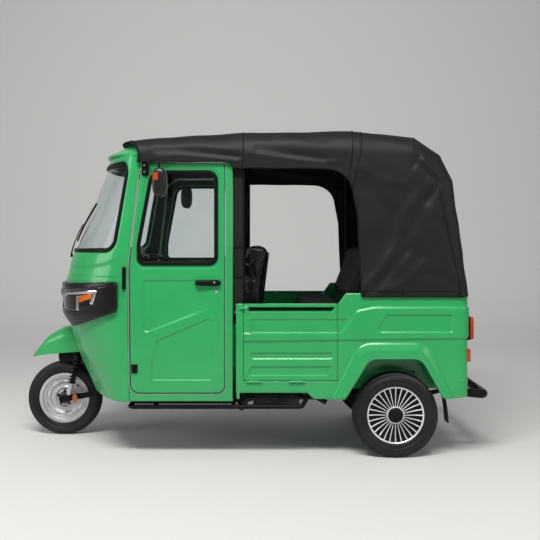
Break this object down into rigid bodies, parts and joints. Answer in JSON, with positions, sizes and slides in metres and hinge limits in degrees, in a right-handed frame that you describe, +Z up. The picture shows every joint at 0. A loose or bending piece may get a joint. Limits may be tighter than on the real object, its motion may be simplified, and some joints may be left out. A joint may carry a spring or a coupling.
{
  "type": "auto rickshaw",
  "caption": "Enclosed three-wheeled auto rickshaw with a green cab, hinged doors, drop sides, canvas roof and spoked rear wheel covers.",
  "frame": {"origin": "on the ground, under the middle of the vehicle's length and width", "axes": "+X to the rear, +Y to the vehicle's right, +Z up; the front wheel is at -X"},
  "size_m": [3.029, 1.476, 2.0358],
  "materials": {
    "green_paint": "glossy green paint",
    "black_canvas": "coated black canvas",
    "clear_glass": "clear safety glass",
    "black_rubber": "black weatherstrip rubber",
    "black_plastic": "moulded black plastic",
    "lamp_lens": "clear lens with amber insert",
    "tail_lens": "red and amber lens",
    "mirror_shell": "black mirror shell",
    "black_steel": "black chassis paint",
    "engine_metal": "cast alloy",
    "exhaust_steel": "heat proof black",
    "seat_vinyl": "black seat vinyl under clear wrap",
    "tyre_rubber": "black tyre",
    "silver_wheel": "silver wheel paint",
    "spoked_cover": "black cover with bright spokes"
  },
  "bodies": {
    "body": {"front_cowl": "green_paint", "windscreen": "clear_glass", "windscreen_seal": "black_rubber", "visor": "green_paint", "lamp_panel": "black_plastic", "lamp_units": "lamp_lens", "cab_floor": "black_steel", "dashboard": "black_plastic", "door_frames": "green_paint", "door_hinges": "black_steel", "canopy": "black_canvas", "roof_frame": "black_steel", "rear_tub": "green_paint", "driver_seat_base": "green_paint", "driver_cushion": "seat_vinyl", "driver_back": "seat_vinyl", "bench_cushion": "seat_vinyl", "bench_back": "seat_vinyl", "seat_brackets": "black_steel", "chassis_frame": "black_steel", "engine_block": "engine_metal", "rear_axle": "black_steel", "exhaust": "exhaust_steel", "rear_bumper": "black_steel", "mud_flaps": "black_rubber", "tail_lamps": "tail_lens", "wiper": "black_plastic"},
    "steering": {"steering_fork": "black_steel", "front_dampers": "black_steel", "handlebar": "black_plastic", "front_guard": "green_paint"},
    "front_wheel": {"front_tyre": "tyre_rubber", "front_rim": "silver_wheel"},
    "rear_wheel_left": {"rear_tyre_left": "tyre_rubber", "rear_rim_left": "spoked_cover"},
    "rear_wheel_right": {"rear_tyre_right": "tyre_rubber", "rear_rim_right": "spoked_cover"},
    "door_left": {"door_panel_left": "green_paint", "door_glass_left": "clear_glass", "mirror_left": "mirror_shell"},
    "door_right": {"door_panel_right": "green_paint", "door_glass_right": "clear_glass", "mirror_right": "mirror_shell"},
    "gate_left_leaf": {"gate_left": "green_paint"},
    "gate_right_leaf": {"gate_right": "green_paint"}
  },
  "joints": [
    {"name": "steering_turn", "type": "hinge", "parent": "body", "child": "steering", "pos_m": [-0.9598, 0, 0.825], "axis": [0.4226, 0, 0.9063], "range_deg": [-35, 35]},
    {"name": "front_wheel_spin", "type": "hinge", "parent": "steering", "child": "front_wheel", "pos_m": [-1.2645, 0, 0.25], "axis": [0, 1, 0], "continuous": true},
    {"name": "rear_wheel_left_spin", "type": "hinge", "parent": "body", "child": "rear_wheel_left", "pos_m": [0.9055, -0.558, 0.259], "axis": [0, 1, 0], "continuous": true},
    {"name": "rear_wheel_right_spin", "type": "hinge", "parent": "body", "child": "rear_wheel_right", "pos_m": [0.9055, 0.558, 0.259], "axis": [0, 1, 0], "continuous": true},
    {"name": "door_left_swing", "type": "hinge", "parent": "body", "child": "door_left", "pos_m": [-0.7285, -0.632, 0.8], "axis": [0, 0, -1], "range_deg": [0, 75]},
    {"name": "door_right_swing", "type": "hinge", "parent": "body", "child": "door_right", "pos_m": [-0.7285, 0.632, 0.8], "axis": [0, 0, 1], "range_deg": [0, 75]},
    {"name": "gate_left_drop", "type": "hinge", "parent": "body", "child": "gate_left_leaf", "pos_m": [0.1735, -0.637, 0.47], "axis": [1, 0, 0], "range_deg": [0, 90]},
    {"name": "gate_right_drop", "type": "hinge", "parent": "body", "child": "gate_right_leaf", "pos_m": [0.1735, 0.637, 0.47], "axis": [-1, 0, 0], "range_deg": [0, 90]}
  ]
}
